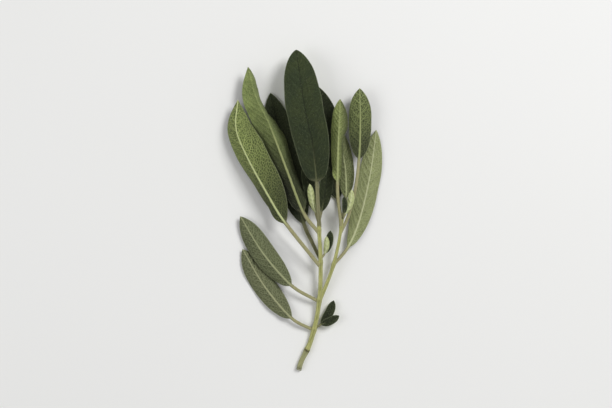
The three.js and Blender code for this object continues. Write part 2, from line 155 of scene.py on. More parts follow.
# Each leaf: its line, the point where the blade starts, the width laid flat, the face turned up,
# the folds of both halves from foot to tip, their curl in degrees, and the waves of the margins as
# height, number and phase. A larger tip_root or foot_root makes that end blunter, and left_share
# narrows the left half. Then what only the looks need: the mesh's spacing, how far apart the side
# veins leave the middle rib, how far they run forward as they run out, and a seed.
LEAVES = {
    "leaf_top": dict(
        line=[
            [11.3, 78.2, 8.2], [10.8, 84.4, 11.2], [10.2, 93.0, 12.6], [9.6, 104.2, 13.2],
            [7.3, 124.8, 14.6], [2.6, 147.0, 14.4], [-2.0, 178.2, 10.4],
        ],
        foot=3, width=21.0, tip_root=1.4, foot_root=2.3, shows="upper", left=[6, 8, 10],
        right=[28, 20, 12], curl=[4, -14], wave=[0.7, 2.6, 0.4], spacing=0.31, pitch=5.2,
        slant=1.5, seed=11,
    ),
    "leaf_top_left": dict(
        line=[
            [10.7, 75.2, 8.1], [1.9, 87.0, 10.8], [-6.5, 108.6, 12.4],
            [-17.0, 136.0, 12.2], [-24.9, 152.4, 10.8], [-29.1, 168.6, 8.4],
        ],
        foot=1, width=21.0, shows="lower", left=[42, 42, 36, 27, 20, 30],
        right=[36, 52, 56, 54, 50, 60, 73, 72, 62, 50, 40], curl=[10, 14], wave=[0.5, 2.2, 1.1],
        spacing=0.36, pitch=5.0, slant=2.0, seed=12,
    ),
    "leaf_middle_left": dict(
        line=[
            [11.3, 56.4, 7.0], [-8.2, 81.0, 10.6], [-17.5, 95.9, 11.8], [-29.8, 118.4, 11.8],
            [-35.8, 134.0, 10.4], [-34.8, 150.0, 7.6],
        ],
        foot=1, width=23.0, left_share=0.8, shows="lower", left=[50, 54, 44, 40, 40],
        right=[4, 4, 4, 14, 44], curl=[18, 5], wave=[0.4, 2.4, 2.0], spacing=0.3, pitch=6.4,
        slant=1.5, seed=13,
    ),
    "leaf_middle_under": dict(
        line=[
            [11.6, 60.4, 5.7], [7.4, 69.0, 2.4], [2.2, 80.6, 1.2], [-4.6, 105.6, 0.82],
            [-11.2, 131.0, 0.82], [-16.6, 154.4, 1.4],
        ],
        foot=2, width=18.0, shows="upper", left=[4, 1], right=[6, 6], curl=[2, 6],
        wave=[0.35, 2.1, 0.2], spacing=0.45, pitch=5.0, slant=1.3, seed=14,
    ),
    "leaf_lower_left": dict(
        line=[[10.7, 36.2, 3.5], [-4.9, 45.6, 5.6], [-20.4, 63.2, 6.4], [-33.6, 84.4, 3.2]],
        foot=1, width=14.5, shows="lower", left=[20, 20], right=[14, 14], curl=[16, 14],
        wave=[0.5, 1.8, 0.9], spacing=0.4, pitch=4.6, slant=1.4, seed=15,
    ),
    "leaf_lowest_left": dict(
        line=[[7.9, 19.9, 1.6], [-4.8, 27.0, 3.2], [-19.6, 44.4, 3.3], [-32.4, 65.8, 1.9]],
        foot=1, width=13.5, shows="lower", left=[14, 8], right=[10, 16], curl=[12, 12],
        wave=[0.5, 1.9, 2.6], spacing=0.4, pitch=4.4, slant=1.4, seed=16,
    ),
    "shoot_leaf_front": dict(
        line=[
            [23.4, 78.2, 8.2], [22.6, 85.6, 11.2], [21.6, 94.6, 12.8], [21.3, 104.4, 13.2],
            [21.7, 126.0, 13.6], [22.8, 150.4, 11.0],
        ],
        foot=3, width=12.8, shows="lower", left=[44, 46, 46, 40, 30, 20],
        right=[40, 50, 58, 24, 18, 18], curl=[14, 18], wave=[0.4, 1.8, 1.5],
        spacing=0.3, pitch=3.0, slant=1.5, seed=17,
    ),
    "shoot_leaf_under": dict(
        line=[
            [23.2, 77.6, 7.6], [23.2, 84.4, 4.0], [21.4, 94.4, 1.4], [18.4, 114.2, 0.86],
            [15.0, 135.6, 0.86], [10.4, 158.0, 2.0],
        ],
        foot=2, width=16.0, shows="upper", left=[6, 6], right=[6, 6], curl=[5, 5],
        wave=[0.5, 2.0, 1.9], spacing=0.45, pitch=4.8, slant=1.3, seed=18,
    ),
    "shoot_leaf_inner": dict(
        line=[
            [24.2, 82.8, 7.8], [26.2, 95.0, 6.6], [25.8, 110.6, 6.0], [24.0, 121.4, 5.6],
            [21.2, 134.4, 5.0],
        ],
        foot=1, width=10.6, shows="lower", left=[18, 20], right=[8, 6], curl=[10, 14],
        wave=[0.3, 1.6, 0.6], spacing=0.34, pitch=3.2, slant=1.7, seed=19,
    ),
    "shoot_leaf_outer": dict(
        line=[
            [23.1, 75.0, 7.7], [27.5, 84.8, 8.9], [31.4, 100.2, 9.8], [33.5, 117.0, 10.0],
            [34.2, 136.0, 9.8], [33.9, 156.6, 9.4],
        ],
        foot=3, width=13.6, shows="lower", left=[12, 12], right=[14, 14], curl=[10, 16],
        wave=[0.5, 2.0, 2.2], spacing=0.32, pitch=4.4, slant=1.2, seed=20,
    ),
    "shoot_leaf_right": dict(
        line=[
            [19.0, 56.8, 5.8], [27.6, 67.4, 4.4], [34.2, 83.6, 3.4], [40.0, 108.6, 3.0],
            [43.4, 133.4, 2.6],
        ],
        foot=1, width=13.0, shows="lower", left=[8, 8], right=[10, 10], curl=[8, 12],
        wave=[0.4, 2.0, 0.3], spacing=0.38, pitch=4.4, slant=1.4, seed=21,
    ),
}


YOUNG_PITCH = 2.6


def young(seed, line, width, shows, left, right, curl, wave):
    """A young leaf of a tuft, whose halves keep their folds from foot to tip."""
    return dict(
        line=line, foot=1, width=width, shows=shows, left=[left, left], right=[right, right],
        curl=curl, wave=wave, spacing=0.3, pitch=YOUNG_PITCH, slant=1.3, seed=seed,
    )


TUFTS = {
    "tip_leaves": [
        young(51, [[10.7, 80.6, 7.8], [8.9, 87.4, 6.7], [6.1, 101.8, 6.0], [3.2, 116.0, 5.8]],
              8.4, "upper", 8, 10, [8, 10], [0.3, 1.5, 0.3]),
        young(52, [[10.7, 80.6, 7.8], [12.4, 87.4, 7.4], [14.8, 99.8, 7.6], [16.3, 112.6, 7.2]],
              7.8, "upper", 10, 10, [10, 10], [0.3, 1.4, 1.3]),
        young(53, [[10.7, 80.6, 7.8], [9.0, 86.8, 9.2], [7.0, 94.0, 12.0], [5.6, 102.8, 12.8]],
              4.4, "lower", 16, 16, [20, 20], [0.1, 1.2, 0.3]),
    ],
    "shoot_tip_leaves": [
        young(54, [[24.1, 82.6, 8.2], [25.8, 86.0, 11.4], [28.6, 92.4, 12.8], [29.4, 99.6, 12.6]],
              4.2, "lower", 14, 14, [16, 16], [0.1, 1.2, 0.9]),
        young(55, [[24.1, 82.6, 8.2], [25.0, 86.2, 11.6], [25.4, 91.0, 13.6], [24.9, 95.8, 14.2]],
              3.2, "upper", 14, 14, [12, 12], [0.1, 1.2, 0.2]),
    ],
    "axil_leaves_low": [
        young(56, [[8.3, 20.6, 1.7], [12.2, 23.6, 2.3], [16.6, 29.6, 2.6], [19.4, 36.8, 2.2]],
              5.2, "upper", 10, 10, [8, 8], [0.2, 1.4, 0.8]),
        young(57, [[8.3, 20.6, 1.7], [12.2, 23.2, 2.7], [17.0, 25.0, 4.1], [22.4, 28.2, 4.3]],
              4.6, "upper", 12, 12, [10, 10], [0.2, 1.4, 2.4]),
    ],
    "axil_leaves_middle": [
        young(58, [[11.8, 60.0, 6.6], [14.2, 63.6, 7.4], [16.6, 69.6, 8.0], [17.4, 76.4, 7.8]],
              4.6, "upper", 12, 12, [10, 10], [0.2, 1.4, 1.9]),
        young(59, [[11.8, 60.0, 6.6], [14.2, 63.6, 7.8], [15.2, 67.8, 9.8], [15.2, 73.2, 10.8]],
              3.4, "lower", 14, 14, [16, 16], [0.1, 1.2, 0.5]),
    ],
}


def ease(start, end, value):
    """From 0 at the start to 1 at the end, smoothly."""
    t = np.clip((value - start) / (end - start), 0, 1)
    return t * t * (3 - 2 * t)


def blend(a, b, share):
    return a + (b - a) * share


def bell(value, width):
    return np.exp(-((value / width) ** 2))


def unit(vectors):
    return vectors / np.maximum(np.linalg.norm(vectors, axis=-1, keepdims=True), 1e-12)


def spline(a, b, c, d, f):
    """Place at share f from b to c on the smooth curve through four points, and the way it heads."""
    before, after = (c - a) / 2, (d - b) / 2
    second = 3 * (c - b) - 2 * before - after
    third = 2 * (b - c) + before + after
    return b + f * (before + f * (second + f * third)), before + f * (2 * second + 3 * f * third)


class Line:
    """A smooth line through points, with its length measured along it."""

    def __init__(self, points):
        p = np.array(points, float)
        self.spans = len(p) - 1
        self.held = np.vstack([2 * p[0] - p[1], p, 2 * p[-1] - p[-2]])
        self.shares = np.linspace(0, 1, CURVE_STEPS + 1)
        steps = np.diff(self.place_and_ahead(self.shares)[0], axis=0)
        self.arcs = np.concatenate([[0], np.cumsum(np.linalg.norm(steps, axis=1))])
        self.length = self.arcs[-1]

    def place_and_ahead(self, share):
        at = np.clip(share, 0, 1) * self.spans
        i = np.minimum(np.floor(at).astype(int), self.spans - 1)
        place, ahead = spline(*(self.held[i + k] for k in range(4)), (at - i)[..., None])
        return place, unit(ahead)

    def frames(self, arc):
        """Place, and the directions ahead, to the right and upwards, at lengths along the line."""
        place, ahead = self.place_and_ahead(np.interp(arc, self.arcs, self.shares))
        right = unit(np.cross(ahead, UP))
        return place, ahead, right, np.cross(right, ahead)


class Field:
    """Smooth noise and irregular cells over a plane, the same for the same seed."""

    REPEAT = 96

    def __init__(self, seed):
        self.table = np.random.default_rng(seed).random((4, self.REPEAT, self.REPEAT))

    def at(self, layer, i, j):
        return self.table[layer, i % self.REPEAT, j % self.REPEAT]

    def noise(self, x, y, layer=2):
        i, j = np.floor(x).astype(int), np.floor(y).astype(int)
        u, v = ease(0, 1, x - i), ease(0, 1, y - j)
        low = blend(self.at(layer, i, j), self.at(layer, i + 1, j), u)
        high = blend(self.at(layer, i, j + 1), self.at(layer, i + 1, j + 1), u)
        return 2 * blend(low, high, v) - 1

    def rough(self, x, y):
        """Noise with finer noise on it."""
        return self.noise(x, y) + 0.5 * self.noise(2.1 * x + 7, 2.1 * y + 3, 3)

    def cells(self, x, y, loose=0.85):
        """How far each place is from the border between cells about 1 across."""
        i, j = np.floor(x).astype(int), np.floor(y).astype(int)
        first, second = np.full(x.shape, 9.0), np.full(x.shape, 9.0)
        for a in (i - 1, i, i + 1):
            for b in (j - 1, j, j + 1):
                px = a + 0.5 + loose * (self.at(0, a, b) - 0.5)
                py = b + 0.5 + loose * (self.at(1, a, b) - 0.5)
                d = np.hypot(px - x, py - y)
                second = np.minimum(second, np.maximum(first, d))
                first = np.minimum(first, d)
        return second - first


def outline(share, tip_root, foot_root):
    """Half width of a blade at a share of its length, on a greatest half width of 1."""
    low = 1 - (1 - np.clip(share / PEAK, 0, 1)) ** FOOT_POWER
    high = 1 - np.clip((share - PEAK) / (1 - PEAK), 0, 1) ** TIP_POWER
    return np.where(share < PEAK, low ** (1 / foot_root), high ** (1 / tip_root))


def value_at(values, share):
    """Value at a share of the way along a list of values at even steps."""
    at = np.clip(share, 0, 1) * (len(values) - 1)
    i = np.minimum(np.floor(at).astype(int), len(values) - 2)
    v = np.array(values, float)
    return blend(v[i], v[i + 1], ease(0, 1, at - i))


def grid_quads(at):
    """The faces between the rows and columns of a grid of point numbers."""
    return np.stack([at[:-1, :-1], at[:-1, 1:], at[1:, 1:], at[1:, :-1]], -1).reshape(-1, 4)


class Leaf:
    """A leaf as a grid of points: rows from the petiole's foot to the tip, columns across."""

    def __init__(self, leaf):
        self.leaf = leaf
        self.line = Line(leaf["line"])
        self.foot = self.line.arcs[round(CURVE_STEPS * leaf["foot"] / (len(leaf["line"]) - 1))]
        self.blade = self.line.length - self.foot
        self.half_width = leaf["width"] / 2
        self.roots = leaf.get("tip_root", TIP_ROOT), leaf.get("foot_root", FOOT_ROOT)
        self.stout = min(1, SLIM + leaf["width"] / FULL_WIDTH)
        self.to_upper = 1 if leaf["shows"] == "upper" else -1
        self.field = Field(leaf["seed"])
        self.lay_grid()
        self.lay_widths()
        self.lay_veins()

    def lay_grid(self):
        """Each point's share of the blade's length, below 0 on the petiole, and place across."""
        gap = self.leaf["spacing"]
        tip_share = TIP_LENGTH / self.blade
        petiole_rows = max(PETIOLE_ROWS, round(self.foot / (PETIOLE_SPACING * gap)))
        petiole = np.linspace(-self.foot / self.blade, 0, petiole_rows, endpoint=False)
        body = np.linspace(0, 1 - tip_share, round(self.blade / gap), endpoint=False)
        tip = 1 - tip_share * (1 - np.linspace(0, 1, TIP_ROWS)) ** TIP_CROWDING
        share = np.concatenate([petiole, body, np.minimum(tip, LAST_SHARE)])
        fine = np.arange(0, min(FINE_WIDTH, self.half_width / 3), FINE_SPACING * gap)
        wide = np.arange(fine[-1] + gap, self.half_width - RIM_WIDTH, gap)
        reach = np.concatenate([fine / self.half_width, wide / self.half_width, RIM_COLUMNS])
        across = np.concatenate([-reach[:0:-1], reach])
        self.share, self.across = np.meshgrid(share, across, indexing="ij")
        self.reach, self.side = np.abs(self.across), np.sign(self.across)
        self.right_half = self.across >= 0
        self.along = self.share * self.blade

    def lay_widths(self):
        """The distance from the middle rib to the margin, and each point's own distance."""
        self.full = outline(self.share, *self.roots)
        half_share = np.where(self.right_half, 1, self.leaf.get("left_share", 1))
        slow = self.field.rough(self.along / UNEVEN_CELL, 5 * self.side)
        uneven = 1 + UNEVEN * slow * ease(0.5, 1, self.reach)
        stalk = PETIOLE_HALF * self.stout * (1 - np.clip(self.share, 0, 1))
        self.width = np.hypot(stalk, self.half_width * self.full * half_share) * uneven
        self.x = self.across * self.width
        self.in_blade = ease(-0.01, 0.05, self.share)
        wander = self.field.noise(self.along * 0.4, self.side * 3.3)
        beat = self.along / TOOTH_PITCH + TOOTH_WANDER * wander
        tooth = np.abs(np.sin(np.pi * beat)) ** 0.7 - 0.6
        teeth = np.minimum(TOOTH_DEPTH, TOOTH_SHARE * self.width) * tooth * ease(0.86, 1, self.reach)
        self.spread = self.width + teeth * self.in_blade * ease(0.1, 0.3, self.full)

    def side_rib_root(self):
        """Where the fold line through each point leaves the middle rib, as a share."""
        run = RIB_SLANT * self.half_width / self.blade
        goal = np.maximum(self.share, 0)
        low, high = np.zeros_like(goal), goal.copy()
        for _ in range(22):
            middle = (low + high) / 2
            over = middle + run * outline(middle, *self.roots) * self.reach > goal
            high, low = np.where(over, middle, high), np.where(over, low, middle)
        return np.clip((low + high) / 2, 0, 1)

    def lay_veins(self):
        """Side veins run forward as they run out, and more so towards the margin."""
        pitch = self.leaf["pitch"]
        out = np.abs(self.x)
        run = VEIN_STRAIGHT * out + VEIN_CURVED * out**2 / self.half_width
        self.run = self.leaf["slant"] * run
        wander = VEIN_WANDER * self.field.rough(self.x / VEIN_CELL + 20, self.along / VEIN_CELL)
        self.order = (self.along - self.run) / pitch + wander + VEIN_SHIFT * ease(0, 0.5, self.x)
        self.from_vein = np.abs(self.order - np.round(self.order)) * pitch * ACROSS_VEINS

    def heights(self):
        """Slope of each half and height of the middle surface above the leaf's own line."""
        root = self.side_rib_root()
        leaf = self.leaf
        opened = ease(*OPENING, self.share)
        folds = np.where(self.right_half, value_at(leaf["right"], root), value_at(leaf["left"], root))
        bend = np.radians(folds) * opened
        curl = np.radians(np.where(self.right_half, leaf["curl"][1], leaf["curl"][0])) * opened + 1e-4
        slope = bend + curl * self.reach
        lateral = self.spread * (np.sin(slope) - np.sin(bend)) / curl
        lean = self.spread * (np.cos(bend) - np.cos(slope)) / curl
        wave_height, waves, phase = leaf["wave"]
        turn = 2 * np.pi * waves * root + phase + np.where(self.right_half, RIGHT_LEAD, 0)
        ripple = wave_height * self.reach**2 * np.sin(turn) * self.full
        inner = ease(0, END_FADE, root) * ease(1, 1 - END_FADE, root)
        swing = -np.cos(2 * np.pi * self.order)
        quilt = QUILT * swing * inner * ease(0, QUILT_RISE, self.reach) * (1 - QUILT_FALL * self.reach**4)
        fade = self.in_blade * ease(0, 0.04, self.width / 20) * ease(1, 0.9, self.reach)
        cells = self.field.cells(self.x / CRINKLE_CELL + 30, self.along / CRINKLE_CELL)
        cushions = CRINKLE_HEIGHT * (1 - np.exp(-cells / CRINKLE_EDGE) - CRINKLE_LEVEL)
        soft = SOFT_HEIGHT * self.field.rough(self.x / SOFT_CELL, self.along / SOFT_CELL + 11)
        return slope, lateral, lean + ripple + quilt + (cushions + soft) * fade

    def skins(self):
        """Points of both faces: the middle surface, and what stands out of it on either side."""
        frames = self.line.frames(self.foot + self.along[:, 0])
        place, _, right, above = (v[:, None, :] for v in frames)
        slope, lateral, height = self.heights()
        flat = ease(*FLATTENING, self.share)
        edge_round = np.sqrt(np.clip(1 - self.reach ** np.clip(4 * self.width, 2, 60), 0, 1))
        tissue = BLADE_HALF * blend(1, EDGE_THIN, ease(0.6, 1, self.reach))
        thick = blend(PETIOLE_THICK / 2 * self.stout, tissue, flat)
        fading = 1 - RIB_FADE * np.clip(self.share, 0, 1)
        furrow = FURROW_DEPTH * self.stout * bell(self.x, FURROW_HALF) * fading * flat
        channel = CHANNEL_DEPTH * self.stout * bell(self.x, CHANNEL_HALF * self.stout) * (1 - flat)
        taper = (1 - VEIN_FADE * self.reach) * self.in_blade * ease(1, 0.93, self.share)
        vein = bell(self.from_vein, blend(*VEIN_HALF, self.reach)) * taper
        rib = RIB_HEIGHT * self.stout * bell(self.x, RIB_HALF * self.stout * fading) * fading * flat
        ends = np.ones_like(self.share)
        ends[0] = ends[-1] = 0
        faces = {}
        for skin in (1, -1):
            upper = skin * self.to_upper > 0
            relief = -furrow - channel - VEIN_SUNK * vein if upper else rib + VEIN_RAISED * vein
            depth = skin * (thick + relief) * edge_round * ends
            out = self.side * (lateral - self.to_upper * np.sin(slope) * depth)
            up = self.to_upper * height + np.cos(slope) * depth
            faces[skin] = place + right * out[..., None] + above * up[..., None]
        return faces[1], faces[-1]

    def both(self, values):
        """Values for the upper sheet of points and for the lower one inside the shared rim."""
        return np.concatenate([values.ravel(), values[1:-1, 1:-1].ravel()])

    def parts(self):
        """The leaf's points, faces and what its materials need to know of each point."""
        top, below = self.skins()
        rows, cols = self.reach.shape
        top_at = np.arange(rows * cols).reshape(rows, cols)
        inside = np.arange((rows - 2) * (cols - 2)).reshape(rows - 2, cols - 2)
        below_at = top_at.copy()
        below_at[1:-1, 1:-1] = rows * cols + inside
        upper, lower = grid_quads(top_at), grid_quads(below_at)[:, ::-1]
        top_slot = 0 if self.to_upper > 0 else 1
        stalk = 1 - ease(-0.05, 0.04, self.share)
        from_edge = np.maximum(self.spread * (1 - self.reach), 0) + 5 * (1 - self.in_blade)
        at_margin = ease(0.96, 0.99, self.reach) * self.in_blade
        fuzz = blend(BLADE_HAIRS, STALK_HAIRS, stalk) + MARGIN_HAIRS * at_margin
        points = np.vstack([top.reshape(-1, 3), below[1:-1, 1:-1].reshape(-1, 3)])
        points[:, 2] = np.maximum(points[:, 2], 0)
        return dict(
            points=points,
            quads=np.vstack([upper, lower]),
            slots=np.repeat([top_slot, 1 - top_slot], [len(upper), len(lower)]),
            sheets=np.repeat([0, 1], [len(upper), len(lower)]),
            fuzz=self.both(fuzz),
            scalars={
                "stalk": self.both(stalk),
                "along": self.both(np.clip(self.share, 0, 1)),
                "half": self.both(self.across),
                "order": self.both(self.order),
                "edge": self.both(from_edge),
            },
            vectors={
                "flat": self.both_vectors(self.x, self.along + self.foot),
                "net": self.both_vectors(NET_STRETCH * self.x, self.along - NET_LEAD * self.run),
            },
            width=self.half_width,
            length=self.line.length,
        )

    def both_vectors(self, x, y):
        return np.stack([self.both(x), self.both(y), self.both(0 * x)], -1)


def joined(parts):
    """Several leaves as one set of points and faces, side by side on the map."""
    keys = ("points", "quads", "slots", "fuzz", "map")
    whole = {k: [] for k in keys}
    start, offset = 0, 0.0
    for part in parts:
        pitch = 2 * part["width"] + MAP_GAP
        corners = part["vectors"]["flat"][part["quads"]][..., :2].copy()
        corners[..., 0] += offset + 0.5 * pitch + part["sheets"][:, None] * pitch
        rows = (part["points"], part["quads"] + start, part["slots"], part["fuzz"], corners)
        for k, v in zip(keys, rows):
            whole[k].append(v)
        offset += 2 * pitch
        start += len(part["points"])
    whole = {k: np.concatenate(v) for k, v in whole.items()}
    size = max(offset, max(p["length"] for p in parts) + 2)
    whole["map"] = (whole["map"] + [0, 1]) / size
    for group in ("scalars", "vectors"):
        whole[group] = {k: np.concatenate([p[group][k] for p in parts]) for k in parts[0][group]}
    return whole


def add_object(name, data):
    thing = bpy.data.objects.new(name, data)
    bpy.context.scene.collection.objects.link(thing)
    return thing


def add_mesh(name, points, faces, finishes, slots=None, scalars=(), vectors=(), chart=None):
    """A smooth mesh from points in millimetres, with its materials, attributes and map."""
    mesh = bpy.data.meshes.new(name)
    mesh.from_pydata((points * MM).tolist(), [], faces)
    mesh.polygons.foreach_set("use_smooth", np.ones(len(mesh.polygons), bool))
    for finish in finishes:
        mesh.materials.append(finish)
    if slots is not None:
        mesh.polygons.foreach_set("material_index", slots.astype(np.int32))
    for kind, field, group in (("FLOAT", "value", scalars), ("FLOAT_VECTOR", "vector", vectors)):
        for key in group:
            layer = mesh.attributes.new(key, kind, "POINT")
            layer.data.foreach_set(field, group[key].astype(np.float32).ravel())
    if chart is not None:
        layer = mesh.uv_layers.new(name="OFBake")
        layer.data.foreach_set("uv", chart.astype(np.float32).ravel())
    mesh.update()
    return add_object(name, mesh)


def add_hairs(name, points, quads, fuzz, seed):
    """Short stiff hairs that stand on the faces and lean a little towards the tips."""
    rng = np.random.default_rng(seed)
    a, b, c, d = (points[quads[:, k]] for k in range(4))
    cross = np.cross(c - a, d - b) / 2
    counts = rng.poisson(np.linalg.norm(cross, axis=1) * fuzz[quads].mean(1))
    on = np.repeat(np.arange(len(quads)), counts)
    u, v = rng.random((2, len(on), 1))
    foot = blend(blend(a[on], b[on], u), blend(d[on], c[on], u), v)
    lean = unit(unit(cross[on]) + rng.normal(0, HAIR_SCATTER, (len(on), 3)) + [0, HAIR_LEAN, 0])
    first = unit(np.cross(lean, rng.normal(0, 1, (len(on), 3))))
    second = np.cross(lean, first)
    corners = []
    for turn in np.radians([0, 120, 240]):
        outwards = np.cos(turn) * first + np.sin(turn) * second
        corners.append(foot - HAIR_SINK * lean + HAIR_HALF * outwards)
    corners.append(foot + rng.uniform(*HAIR_LENGTH, (len(on), 1)) * lean)
    cones = np.stack(corners, 1)
    cones = cones[cones[..., 2].min(1) > HAIR_CLEAR]
    sides = np.array([[0, 1, 3], [1, 2, 3], [2, 0, 3], [0, 2, 1]])
    faces = (4 * np.arange(len(cones))[:, None, None] + sides).reshape(-1, 3)
    return add_mesh(name, cones.reshape(-1, 3), faces.tolist(), [HAIR_FINISH])


def round_section(count):
    """The stem's furrowed square section as a smooth closed curve."""
    p = np.array(SECTION, float)
    at = np.arange(count) / count * len(p)
    i = np.floor(at).astype(int)
    return spline(*(p[(i + k - 1) % len(p)] for k in range(4)), (at - i)[:, None])[0]


def stem_parts(points, half, nodes, rest_length, seed, cut):
    """One stem: rings along its line, closed at both ends by smaller rings and a fan."""
    line = Line(points)
    field = Field(seed)
    arcs = np.arange(0, line.length, STEM_STEP)
    arcs = np.append(arcs[arcs < line.length - 0.1], line.length)[:, None]
    place, ahead, right, above = (v[:, None, :] for v in line.frames(arcs[:, 0]))
    sx, sy = (v[None, :] for v in round_section(STEM_SIDES).T)
    turn = np.arange(STEM_SIDES)[None, :] / STEM_SIDES
    swell = sum(bell(arcs - n, NODE_LENGTH) for n in nodes)
    collar = sum(bell(arcs - n - 0.5, 0.45) - 0.6 * bell(arcs - n + 0.6, 0.5) for n in nodes)
    near_end = np.clip((arcs - line.length + CLOSING_LENGTH) / CLOSING_LENGTH, 0, 1)
    closing = np.sqrt(1 - 0.75 * near_end**2)
    grain = field.rough(turn * 34 + 3, arcs / 7.0) + 0.6 * field.noise(turn * 22, arcs / 2.2, 3)
    reach = half * (1 - STEM_TAPER * arcs / line.length) * closing * (1 + NODE_SWELL * swell)
    reach = reach + GRAIN_HEIGHT * grain
    reach = reach + COLLAR_HEIGHT * collar * (0.6 + 0.4 * np.cos(8 * np.pi * turn))
    body = place + right * (sx * reach)[..., None] + above * (sy * reach)[..., None]
    if cut:
        slanted = np.clip(1 - arcs / CUT_LENGTH, 0, 1) * sy * reach * CUT_SLANT
        body = body + ahead * slanted[..., None]
    down = ease(-0.55, -0.97, sy) * ease(rest_length + 3, rest_length, arcs)
    body[..., 2] = np.maximum(blend(body[..., 2], 0, down), 0)

    def smaller(ring, heading, rings):
        middle = ring.mean(0)
        return np.array([middle + (ring - middle) * size + heading * out for size, out in rings])

    first, last = smaller(body[0], ahead[0, 0], CUT_RINGS), smaller(body[-1], ahead[-1, 0], END_RINGS)
    rings = np.concatenate([first, body, last])
    rows = len(rings)
    at = np.arange(rows * STEM_SIDES).reshape(rows, STEM_SIDES)
    beside = np.roll(at, -1, axis=1)
    quads = grid_quads(np.hstack([at, at[:, :1]]))
    hub = rows * STEM_SIDES
    fans = [[hub, beside[0, j], at[0, j]] for j in range(STEM_SIDES)]
    fans += [[hub + 1, at[-1, j], beside[-1, j]] for j in range(STEM_SIDES)]

    def spread(values):
        full = np.broadcast_to(values, (rows, STEM_SIDES)).ravel()
        return np.append(full, [full[0], full[-1]])

    arc_rows = np.vstack([np.zeros((len(first), 1)), arcs, np.full((len(last), 1), line.length)])
    ring_share = np.array([size for size, _ in CUT_RINGS] + [1.0] * (rows - len(first)))[:, None]
    is_cut = 1.0 if cut else 0.0
    scar_dip = 1.1 * np.abs(np.sin(2 * np.pi * (turn - SCAR_TURN)))
    scar_row = bell(arc_rows - nodes[0] + 0.5 - scar_dip, 0.85)
    scalars = {
        "pith": spread(is_cut * ease(0.9, 0.7, ring_share)),
        "rind": spread(is_cut * bell(ring_share - 0.9, 0.05)),
        "corner": spread(ease(0.92, 1.12, np.hypot(sx, sy)) * (ring_share > 0.99)),
        "node": spread(sum(bell(arc_rows - n, 0.9) for n in nodes)),
        "scar": spread(is_cut * scar_row * ease(0.2, 0.1, np.abs(turn - 0.5))),
        "low": spread(is_cut * ease(nodes[0] + 1, nodes[0] - 1, arc_rows)),
        "end": spread(is_cut * ease(CUT_LENGTH, 0.2, arc_rows) * (ring_share > 0.9)),
        # Painted shade: a dark line along one furrow of the stem.
        "furrow_shade": spread(bell(turn - FURROW_SHADE_TURN, 0.035) * (ring_share > 0.99)),
    }
    flat = np.stack([spread(turn * 2 * np.pi * half), spread(arc_rows), spread(0 * arc_rows)], -1)
    return dict(
        points=np.vstack([rings.reshape(-1, 3), rings[0].mean(0), rings[-1].mean(0)]),
        quads=quads, fans=fans, scalars=scalars, flat=flat,
    )


def paint(red, green, blue):
    """A colour given as it looks on a screen, 0 to 255."""

    def linear(v):
        v /= 255
        return v / 12.92 if v <= 0.04045 else ((v + 0.055) / 1.055) ** 2.4

    return (linear(red), linear(green), linear(blue), 1.0)


def darker(colour, share):
    return [share * v for v in colour[:3]] + [1.0]


# Lines drawn by the materials: half widths in millimetres, and cells to a millimetre.
RIB_LINE = (0.5, 0.24)  # at the blade's foot and at its tip
VEIN_LINE = (0.19, 0.08)  # at the rib and at the margin
NET_SCALE, NET_LINE = 0.7, (0.22, 0.08)  # lines from where they begin to where they are full
FINE_NET_SCALE, FINE_NET_LINE = 1.9, (0.09, 0.03)
MARGIN_LINE = (0.34, 0.1)

# Tints, 0 to 255, each with how strongly it is laid over what is below it.
UPPER_SIDE_VEIN = (84, 94, 66), 0.22
UPPER_FELT = (132, 142, 114), 0.12
UPPER_MARGIN = (122, 130, 100), 0.6
UNDER_FELT = (186, 192, 158), 0.15
UNDER_MARGIN = (168, 174, 134), 0.5
STALK_BLOTCH = (128, 100, 70), 0.5
# A dark line along one side of the stem: painted shade in its furrow.
STEM_FURROW_SHADE = (100, 102, 50), 0.45
STEM_CORNER = (206, 206, 152), 0.3
STEM_LOW = (140, 140, 112), 0.55
STEM_SPOT = (118, 102, 60), 0.35
STEM_NODE = (128, 126, 78), 0.3
STEM_SCAR = (62, 56, 30), 0.95
STEM_END = (96, 96, 74), 0.6
STEM_FELT = (210, 210, 178), 0.2

# Pairs of tints that noise, or a place along the leaf, runs between.
# GROOVE runs from the rib's own pale colour at the foot to a dark tint, painted shade in the rib's
# furrow.
GROOVE = (116, 120, 84), (36, 42, 26)
UPPER_STALK = (132, 132, 98), (154, 150, 114)
UNDER_STALK = (140, 140, 100), (168, 162, 122)
STEM_GREEN = (134, 138, 72), (178, 177, 108)
FLOOR_TINTS = (236, 236, 234), (241, 241, 240)

RIND, PITH, HAIR_TINT = (104, 112, 72), (186, 182, 146), (182, 190, 150)

# The felt's sheen, and how deep the bumps are, in metres.
SHEEN_ROUGHNESS = 0.45
UPPER_SHEEN, UPPER_BUMP = (0.08, (196, 204, 178)), 0.00026
UNDER_SHEEN, UNDER_BUMP = (0.1, (214, 220, 190)), 0.00018
STEM_SHEEN, STEM_BUMP = (0.12, (216, 220, 190)), 0.00014


